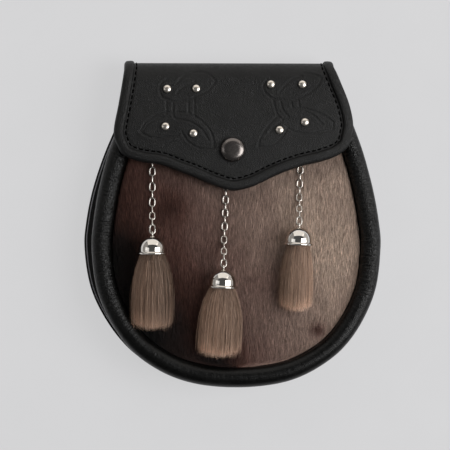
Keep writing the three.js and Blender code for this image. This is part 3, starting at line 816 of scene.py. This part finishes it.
# %% Places of the chains and the tassels
cap_width, cap_height, cap_wall = 18.5 * mm, 11.4 * mm, 0.8 * mm
eye_width, eye_wire = 3.9 * mm, 1 * mm
eye_middle = cap_height + eye_width / 2 - eye_wire
eye_radius = (eye_width - eye_wire) / 2
link_pitch, link_width, link_wire, link_bite = 4.1 * mm, 4.1 * mm, 0.95 * mm, 0.3 * mm
staple_wire, chain_rise = 1.2 * mm, 18 * mm
hair_length = 44 * mm
tassel_thick = 11 * mm

hangings = {  # staple across and rise, lip across and rise, lean in degrees, shares of hair length and spread
    "left": (-0.58, 0.795, -0.584, 0.44, 0, 1, 0.96),
    "middle": (-0.072, 0.69, -0.105, 0.333, -3, 0.93, 1),
    "right": (0.446, 0.79, 0.416, 0.468, -2.5, 0.87, 0.74),
}


def hanging_matrix(across, rise, lean, hair):
    x, y, turn = across * half_pouch, rise_y(rise), math.radians(lean)
    tip_x, tip_y = x + hair * math.sin(turn), y - hair * math.cos(turn)
    up = Vector((x - tip_x, y - tip_y, panel_top(x, y) - panel_top(tip_x, tip_y))).normalized()
    right = up.cross(Vector((0, 0, 1))).normalized()
    out = right.cross(up)
    lip = Vector((x, y, panel_top(x, y) + clear)) + out * cap_width / 2
    matrix = Matrix((right, up, out)).transposed().to_4x4()
    matrix.translation = lip
    return matrix


print("hair of the tassels, mm:", [round(row[-2] * hair_length / mm) for row in hangings.values()])


# %% [markdown]
# A cap is a turned chrome bell with a rolled lip and a wire eye on top. The bell is one profile, spun
# round its axis, because that is how the real one is made. Its dome is narrower than its lip, and the
# same ring that makes the eye is later stretched into the links of the chains.

# %% The bell caps
def ring_mesh(name, radius, wire, stretch=0.0):
    """A closed ring of round wire in XY, stretched along X."""
    around, sides = 24, 10

    def place(u, v):
        a, b = u * math.tau, v * math.tau
        out = radius + wire / 2 * np.cos(a)
        x = out * np.cos(b) + stretch * np.tanh(np.cos(b) * 6)
        return np.column_stack([x, out * np.sin(b), wire / 2 * np.sin(a)])

    bm = skin(sides, around, place, wrap_columns=True, wrap_rows=True)
    bmesh.ops.recalc_face_normals(bm, faces=bm.faces)
    mesh = bpy.data.meshes.new(name)
    bm.to_mesh(mesh)
    bm.free()
    return mesh


def bell_mesh():
    radius = cap_width / 2
    shape = [(0, 1), (0.21, 0.98), (0.385, 0.93), (0.54, 0.85), (0.66, 0.76), (0.77, 0.64), (0.845, 0.50),
             (0.88, 0.36), (0.89, 0.24), (0.89, 0.155), (0.905, 0.125), (0.965, 0.115), (0.998, 0.085),
             (1.0, 0.045), (0.98, 0.01), (0.96, 0)]
    curve = smooth_line([(r * radius, h * cap_height) for r, h in shape], 44)
    inner = [(max(0, r - cap_wall), max(0, h - cap_wall * 0.9)) for r, h in reversed(curve[:-2])]
    inner[-1] = (0, inner[-1][1])
    return turned_mesh("bell", [tuple(p) for p in curve] + inner, 56)


bell = bell_mesh()
eye = ring_mesh("eye", eye_radius, eye_wire)
eye_turn = Matrix.Translation((0, eye_middle, 0)) @ Matrix.Rotation(math.pi / 2, 4, "Y")
for side, (_, _, across, rise, lean, hair, _) in hangings.items():
    matrix = hanging_matrix(across, rise, lean, hair * hair_length)
    cap_bm = bmesh.new()
    add_copy(cap_bm, bell, matrix)
    add_copy(cap_bm, eye, matrix @ eye_turn)
    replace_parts(finish_mesh(cap_bm, f"bell_cap_{side}", chrome), f"tassel_cap_{side}")


# %% [markdown]
# A chain is a row of oval wire links, each turned a quarter against the one before. It comes from a bar
# under the flap, lies on the fur and rises to the eye of its cap. The links share the way evenly, so
# the last one always reaches the eye.

# %% The chains
def chain_links(side, staple_across, staple_rise, across, rise, lean, hair, _):
    """Links at even steps from the staple's bar to the cap's eye, every second one turned on its side."""
    spots = 1200
    bar_x, bar_y = staple_across * half_pouch, rise_y(staple_rise)
    start = np.array([bar_x, bar_y, panel_top(bar_x, bar_y) + clear + link_width / 2])
    matrix = hanging_matrix(across, rise, lean, hair * hair_length)
    end = np.array(matrix @ Vector((0, eye_middle + eye_radius, 0)))
    share = np.linspace(0, 1, 17)[:, None]
    route = start + (end - start) * share
    low = panel_top(route[:, 0], route[:, 1]) + clear + link_width / 2
    left = np.clip(np.linalg.norm(route - end, axis=1) / chain_rise, 0, 1)
    ease = left ** 2 * (3 - 2 * left)
    route[1:, 2] = (end[2] + (low - end[2]) * ease)[1:]
    line = smooth_line(route, spots)
    length = np.linalg.norm(np.diff(line, axis=0), axis=1).sum()
    bar_reach, eye_reach = staple_wire / 2 + clear, eye_wire / 2 + clear
    count = 2 * round(np.linalg.norm(end - start) / link_pitch / 2)
    pitch = (length + link_bite + bar_reach + eye_reach) / count
    long = pitch + 2 * link_wire - link_bite
    link = ring_mesh("link", (link_width - link_wire) / 2, link_wire, (long - link_width) / 2)
    first = (pitch - link_bite) / 2 - bar_reach
    bm = bmesh.new()
    for i in range(count):
        at = round((first + i * pitch) / length * (spots - 1))
        along = Vector(line[min(spots - 1, at + 3)] - line[at - 3]).normalized()
        right = along.cross(Vector((0, 0, 1))).normalized()
        up = right.cross(along)
        axes = (along, right, along.cross(right)) if i % 2 else (along, up, along.cross(up))
        turn = Matrix(axes).transposed().to_4x4()
        turn.translation = line[at]
        add_copy(bm, link, turn)
    return finish_mesh(bm, f"chain_links_{side}", nickel)


for side, row in hangings.items():
    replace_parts(chain_links(side, *row), f"chain_{side}")


# %% [markdown]
# Fur and tassels are thousands of thin blades, each three or more narrow faces long, made as one joined
# mesh from arrays. Blades that stand a little differently and differ a little in colour are what makes
# hair look like hair, so every blade gets its own length, turn and tone, from a seeded source.

# %% A helper that turns lines into blades of hair
def hair_piece(name, lines, width, tones, face, material, shades):
    """lines: strands x points x 3; face: the way the flat side looks; shades: (share of length, tone) rows, whose
    dark rows at the root are painted shade.
    """
    strands, steps = lines.shape[:2]
    along = np.gradient(lines, axis=1)
    across = np.cross(along, face[:, None, :])
    across /= np.linalg.norm(across, axis=2)[:, :, None] + 1e-12
    body = lines[:, :-1]
    offset = across[:, :-1] * width[:, None, None] * np.linspace(1, 0.55, steps - 1)[None, :, None]
    pairs = np.stack([body - offset, body + offset], axis=2).reshape(strands, -1, 3)
    verts = np.concatenate([pairs, lines[:, -1:]], axis=1)
    per = verts.shape[1]
    quads = [(2 * k, 2 * k + 1, 2 * k + 3, 2 * k + 2) for k in range(steps - 2)]
    end = (2 * steps - 4, 2 * steps - 3, 2 * steps - 2)
    base = (np.arange(strands) * per)[:, None]
    corners = np.concatenate([(base + np.array([q])).reshape(strands, 4) for q in quads] +
                             [(base + np.array([end])).reshape(strands, 3)], axis=1).ravel()
    sizes = np.tile([4] * len(quads) + [3], strands)
    mesh = bpy.data.meshes.new(name)
    mesh.vertices.add(strands * per)
    mesh.vertices.foreach_set("co", verts.astype(np.float32).ravel())
    mesh.loops.add(len(corners))
    mesh.loops.foreach_set("vertex_index", corners.astype(np.int32))
    mesh.polygons.add(len(sizes))
    mesh.polygons.foreach_set("loop_start", (np.cumsum(sizes) - sizes).astype(np.int32))
    mesh.update(calc_edges=True)
    mesh.transform(to_frame)
    level = np.repeat(np.linspace(0, 1, steps), 2)[:per]
    shade = np.interp(level, *zip(*shades))
    colours = np.ones((strands, per, 4), np.float32)
    colours[:, :, :3] = tones[:, None, :] * shade[None, :, None]
    mesh.color_attributes.new("tone", "FLOAT_COLOR", "POINT").data.foreach_set("color", colours.ravel())
    mesh.polygons.foreach_set("use_smooth", [True] * len(mesh.polygons))
    mesh.materials.append(material)
    piece = bpy.data.objects.new(name, mesh)
    bpy.context.scene.collection.objects.link(piece)
    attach(piece, "root")
    print(f"{name}: {strands} hairs, {int((sizes - 2).sum())} triangles")
    return piece


# %% [markdown]
# Sealskin turns from a dark flank to a pale back, with a few soft marks on it, and all its tones lie on
# one line from black through brown to a pale taupe. So one ramp holds the tones, one slanted run goes
# from the dark lower left to the pale right, and a few broad marks lie over it, one of them a painted
# shadow beside the right tassel. A slow random mottle keeps them from looking airbrushed.

# %% The tones of the fur
fur_ramp = [  # paleness, then the colour
    (0.00, (0.0010, 0.0006, 0.0005)), (0.15, (0.012, 0.0060, 0.0050)), (0.30, (0.050, 0.0210, 0.0155)),
    (0.46, (0.108, 0.0530, 0.0420)), (0.62, (0.195, 0.121, 0.100)), (0.81, (0.330, 0.235, 0.192)),
    (1.00, (0.500, 0.385, 0.310)),
]
fur_run = [(-80, 0.1), (-40, 0.4), (0, 0.65), (50, 0.9)]  # millimetres along the run, then the paleness
fur_marks = {  # x, y and reach in millimetres, then how much paler or darker
    "dark lower left": (-50, -60, 30, -0.2),
    "dark left edge": (-75, -20, 15, -0.15),
    "spot under the flap": (-40, 10, 8, -0.2),
    "dark bottom": (-10, -85, 15, -0.3),
    # painted shadow: the fur darkened where the right tassel's shadow falls beside it
    "painted shadow beside the right tassel": (20, -35, 12, -0.1),
    "small spot at the lower right": (50, -65, 4, -0.5),
    "pale right": (55, -15, 25, 0.1),
}
fur_run_slant = 0.4  # how much a step up the pouch counts as a step along the run
fur_run_height = -30 * mm  # the height at which it counts for nothing
fur_mottle = 0.05
fur_mottle_width = 10 * mm
fur_mottle_length = 16 * mm
fur_mottle_seed = 4.4


def fur_colour(x, y):
    """The tone at each place: the slanted run, the marks on it and the mottle."""
    steps, levels = zip(*fur_run)
    pale = np.interp((x + fur_run_slant * (y - fur_run_height)) / mm, steps, levels)
    for mark_x, mark_y, reach, change in fur_marks.values():
        pale += change * np.exp(-(np.hypot(x / mm - mark_x, y / mm - mark_y) / reach) ** 2)
    pale += fur_mottle * streaks(x, y, fur_mottle_width, fur_mottle_length, fur_mottle_seed)
    steps, colours = zip(*fur_ramp)
    return np.stack([np.interp(pale, steps, channel) for channel in zip(*colours)], axis=1)


print("marks on the fur:", ", ".join(fur_marks))


# %% [markdown]
# The fur lies on a domed hide, and every hair starts on it and points down the pouch. Two layers of hair
# are made: a dense one that lies close and a looser one over it. Both stop at the border's inner edge.

# %% The fur front
def tone_attribute(mesh, tones):
    colours = np.ones((len(tones), 4), np.float32)
    colours[:, :3] = tones
    mesh.color_attributes.new("tone", "FLOAT_COLOR", "POINT").data.foreach_set("color", colours.ravel())


inner_line = body_line + inward(body_line) * (border_width + clear)
inner_right = inner_line[len(inner_line) // 2:]
inner_bottom = inner_line[:, 1].min()


def inner_half(y):
    return np.interp(y, inner_right[:, 1], inner_right[:, 0])


def fur_hide():
    def place(u, v):
        y = inner_bottom + (inner_right[-1, 1] - inner_bottom) * v ** 1.6
        x = (2 * u - 1) * inner_half(y)
        return np.column_stack([x, y, panel_top(x, y) - 0.2 * mm])

    bm = skin(70, 70, place)
    bmesh.ops.remove_doubles(bm, verts=bm.verts, dist=1e-6)
    bmesh.ops.recalc_face_normals(bm, faces=bm.faces)
    piece = finish_mesh(bm, "fur_hide", fur_finish)
    spots = np.array([v.co[:2] for v in piece.data.vertices])
    # The hide gets half the fur's tone: painted shade for the gaps between the hairs.
    tone_attribute(piece.data, 0.5 * fur_colour(spots[:, 0] - middle_x, spots[:, 1]))
    solid = piece.modifiers.new("thickness", "SOLIDIFY")
    solid.thickness = panel_thick
    solid.offset = -1
    return piece


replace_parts(fur_hide(), "front_panel")


def fur(name, count, seed, long, low, high):
    rng = np.random.default_rng(seed)
    x = rng.uniform(-1, 1, count * 2) * (half_pouch - border_width)
    y = rng.uniform(inner_bottom, 52 * mm, count * 2)
    keep = np.abs(x) < inner_half(y) - 0.3 * mm
    x, y = x[keep][:count], y[keep][:count]
    n = len(x)
    lean = 0.08 * streaks(x, y, 9 * mm, 30 * mm, 3.1) + rng.normal(0, 0.10, n) - 0.10 * x / half_pouch
    length = rng.uniform(0.75, 1.25, n) * long
    length = np.minimum(length, np.maximum(y - inner_bottom, 0.5 * mm) * 1.05 + 1.2 * mm)
    lift = rng.uniform(low, high, n)
    points = []
    for t in (0, 0.5, 1):
        px = x + np.sin(lean) * length * t + rng.normal(0, 0.06, n) * mm
        py = y - np.cos(lean) * length * t
        limit = np.maximum(inner_half(py) - 0.2 * mm, 0)
        px = np.clip(px, -limit, limit)
        points.append(np.column_stack([px, py, panel_top(px, py) + lift * (0, 0.8, 1)[round(2 * t)]]))
    lines = np.stack(points, axis=1)
    tones = fur_colour(x + rng.normal(0, 1.2, n) * mm, y - length * 0.6)
    band = 1.06 + 0.30 * streaks(x, y, 0.7 * mm, 2.6 * mm, 7.7) + 0.09 * streaks(x, y, 4 * mm, 16 * mm, 1.3)
    tones = tones * (band * rng.lognormal(0.03, 0.33, n))[:, None]
    face = np.column_stack([rng.normal(0, 0.35, n), rng.normal(0.1, 0.12, n), np.ones(n)])
    width = rng.uniform(0.09, 0.15, n) * mm
    # The rows darken each hair toward its root: painted shade where the hairs lie under one another.
    return hair_piece(name, lines, width, tones, face, fur_finish, [(0, 0.55), (0.5, 0.95), (1, 1.2)])


fur("fur_undercoat", count=62000, seed=11, long=5.2 * mm, low=0.5 * mm, high=1.2 * mm)
fur("fur_hairs", count=62000, seed=12, long=6 * mm, low=0.9 * mm, high=1.9 * mm)


# %% [markdown]
# A tassel is a lock of long straight hair tied into its cap. The hairs start on a disc inside the cap,
# spread a little and sag to the fur. Their tips end at slightly different lengths, which gives the ragged
# blunt end.

# %% The tassels
tassel_tones = [(0.345, 0.224, 0.160), (0.255, 0.157, 0.108), (0.455, 0.322, 0.245)]
# Per tassel: its own tone, then a painted shade that darkens one side of the lock across its width.
tassel_tone_and_side_shade = {"left": (0.72, -0.38), "middle": (0.96, -0.28), "right": (0.94, 0.12)}  # tone, change across


def tassel(side, across, rise, lean, hair, spread, seed):
    """Strands of one tassel. Some start part of the way down or stop early, which makes it look brushed."""
    count, rng = 7600, np.random.default_rng(seed)
    length = hair * hair_length
    root_radius = 6.2 * mm
    tip_half, tip_deep = 12.6 * mm * spread, 5.4 * mm  # half width and half thickness at the tips
    shade, slant = tassel_tone_and_side_shade[side]
    around, out = rng.uniform(0, math.tau, count), np.sqrt(rng.uniform(0, 1, count))
    rx, rz = out * np.cos(around), out * np.sin(around)
    sag = (tassel_thick - cap_width) / 2 + clear
    ragged = 0.05 * streaks(rx, rz, 0.25, 0.25, seed) + 0.025 * rng.standard_normal(count)
    reach = length * (1.035 - 0.16 * rng.beta(1.0, 4, count) - 0.04 * rx ** 2 + ragged)
    reach = np.minimum(reach, length * 1.07)
    tx = rx * tip_half + rng.normal(0, 0.9, count) * mm
    tz = rz * tip_deep + sag + rng.normal(0, 0.5, count) * mm
    wave, phase = rng.normal(0, 0.3, (2, count)) * mm, rng.uniform(0, math.tau, count)
    # t runs from 0, inside the cap, to 1 at the tip, and a strand covers its own stretch of it
    start = np.where(rng.random(count) < 0.4, 0, rng.uniform(0, 0.75, count))
    stop = np.where(rng.random(count) < 0.55, 1, np.minimum(1, start + rng.uniform(0.25, 0.6, count)))
    points = []
    for step in np.linspace(0, 1, 5):
        t = start + (stop - start) * step
        flare = 1 - (1 - np.clip((t - 0.06) / 0.94, 0, 1)) ** 4
        px = rx * root_radius * (1 - flare) + tx * flare + wave[0] * np.sin(t * 7 + phase)
        belly = 0.9 * mm * np.sin(math.pi * t) * rz
        pz = rz * root_radius * (1 - t) + tz * t + belly + wave[1] * np.cos(t * 8 + phase)
        points.append(np.column_stack([px, 4 * mm - (reach + 4 * mm) * t, pz]))
    lines = np.stack(points, axis=1)
    matrix = np.array(hanging_matrix(across, rise, lean, length))
    lines = lines @ matrix[:3, :3].T + matrix[:3, 3]
    mixed = rng.dirichlet((1.4, 1.2, 1.0), count) @ np.array(tassel_tones)
    clump = 1 + 0.14 * streaks(rx, rz, 0.12, 0.12, seed + 0.5)
    # The slant term darkens one side of the lock: painted shade.
    tones = mixed * (shade * (1 + slant * rx) * clump * (0.85 + 0.4 * stop) * rng.lognormal(0, 0.24, count))[:, None]
    radial = np.column_stack([rx, np.zeros(count), rz + 0.35]) + rng.normal(0, 0.3, (count, 3))
    face = radial @ matrix[:3, :3].T
    width = rng.uniform(0.07, 0.12, count) * mm
    # The rows darken the hair toward the cap, which is painted shade, and pale the tips, which are the hair's own
    # pale ends.
    return hair_piece(f"hair_{side}", lines, width, tones, face, tassel_finish,
                      [(0, 0.75), (0.3, 0.9), (0.75, 1.0), (1, 2.2)])


def tassel_core(side, across, rise, lean, hair, spread):
    """A brown, tapered bundle in the middle, so that no light shows through the hair. Its dark tone is painted shade
    for the inside of the lock.
    """
    length = hair * hair_length
    sag = (tassel_thick - cap_width) / 2 + clear

    def place(u, v):
        angle, t = u * math.tau, v
        fade = np.sin(np.pi * np.clip(t * 1.02, 0, 1)) ** 0.25
        px = np.cos(angle) * (5.8 * mm + (10 * mm * spread - 5.8 * mm) * t) * fade
        pz = np.sin(angle) * (5.8 * mm - 2.2 * mm * t) * fade + sag * t
        return np.column_stack([px, 4 * mm - (length * 0.88 + 4 * mm) * t, pz])

    bm = skin(20, 16, place, wrap_columns=True, wrap_rows=False)
    bmesh.ops.remove_doubles(bm, verts=bm.verts, dist=1e-5)
    bmesh.ops.recalc_face_normals(bm, faces=bm.faces)
    bmesh.ops.transform(bm, matrix=hanging_matrix(across, rise, lean, length), verts=bm.verts)
    piece = finish_mesh(bm, f"hair_core_{side}", tassel_finish)
    # The core's dark brown is painted shade for the inside of the lock.
    tone_attribute(piece.data, np.tile((0.10, 0.055, 0.036), (len(piece.data.vertices), 1)))
    return piece


for number, (side, (_, _, *hang)) in enumerate(hangings.items()):
    tassel(side, *hang, 21 + number)
    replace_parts(tassel_core(side, *hang), f"tassel_hair_{side}")

# %% [markdown]
# The post of the snap and the staples of the chains are hidden under the flap. Their solids are already
# right in shape, so they only get the nickel.

# %% Hidden metal
for name in ("snap_post", "chain_staple_left", "chain_staple_middle", "chain_staple_right"):
    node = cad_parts[name]
    node.data.materials.clear()
    node.data.materials.append(nickel)
    print(name, "is nickel")


# %% [markdown]
# The floor is pale and plain. Two side softboxes and one beyond the fold light the pouch, and the
# ceiling right above is dark, which is what draws the dark window with two bright sides in the chrome.

# %% Floor, lights and camera
def floor():
    bm = bmesh.new()
    bmesh.ops.create_grid(bm, x_segments=1, y_segments=1, size=3)
    mesh = bpy.data.meshes.new("floor")
    bm.to_mesh(mesh)
    bm.free()
    r = Recipe("floor_paper", Roughness=0.9, Emission_Strength=0.575)
    r.shader.inputs["Emission Color"].default_value = (0.99, 0.99, 1, 1)
    r.link(r.mix(r.ramp(r.noise(30, 2), 0.3, 0.7), (0.11, 0.11, 0.115, 1), (0.12, 0.12, 0.125, 1)), "Base Color")
    mesh.materials.append(r.material)
    ground = bpy.data.objects.new("floor", mesh)
    bpy.context.scene.collection.objects.link(ground)


def softbox(name, place, target, wide, high, power, tint=(1, 1, 1)):
    lamp = bpy.data.lights.new(name, "AREA")
    lamp.shape, lamp.size, lamp.size_y, lamp.energy, lamp.color = "RECTANGLE", wide, high, power, tint
    made = bpy.data.objects.new(name, lamp)
    made.location = place
    made.rotation_euler = (Vector(target) - Vector(place)).to_track_quat("-Z", "Y").to_euler()
    bpy.context.scene.collection.objects.link(made)


floor()
softbox("side_left", (-1.75, 0.2, 1.6), (0, 0, 0), 0.7, 1.4, 2.5)
softbox("side_right", (1.7, -0.1, 1.85), (0, 0, 0), 1.5, 2.0, 47)
softbox("beyond_fold", (0.1, 1.8, 0.85), (0, 0, 0), 3.2, 2.0, 17, (1, 0.96, 0.91))
softbox("beyond_left", (-1.9, 0.7, 0.85), (0, 0, 0), 2.4, 1.6, 2.5, (1, 0.96, 0.91))
softbox("beyond_right", (1.9, 0.7, 0.85), (0, 0, 0), 2.4, 1.6, 5, (1, 0.96, 0.91))
world = bpy.data.worlds.new("studio")
world.use_nodes = True
world.node_tree.nodes["Background"].inputs["Color"].default_value = (0.93, 0.94, 0.96, 1)
world.node_tree.nodes["Background"].inputs["Strength"].default_value = 0.08
bpy.context.scene.world = world
bpy.context.scene.view_settings.view_transform = "Standard"

# The picture is 450 x 450 and covers 274.5 mm, with the pouch a little right of and below its middle
view_width = 274.5 * mm
view_x, view_y, view_z = middle_x - 7.1 * mm, -0.7 * mm, 25 * mm
camera_distance = 1.8
camera_left = math.radians(3)
lens = bpy.data.cameras.new("camera")
lens.sensor_width = 36
lens.lens = lens.sensor_width * camera_distance / view_width
camera = bpy.data.objects.new("camera", lens)
back = Vector((-math.sin(camera_left), 0, math.cos(camera_left)))
right = Vector((0, 1, 0)).cross(back)
pose = Matrix((right, Vector((0, 1, 0)), back)).transposed().to_4x4()
pose.translation = Vector((view_x, view_y, view_z)) + back * camera_distance
camera.matrix_world = pose
bpy.context.scene.collection.objects.link(camera)
bpy.context.scene.camera = camera
print("focal length, mm:", round(lens.lens))
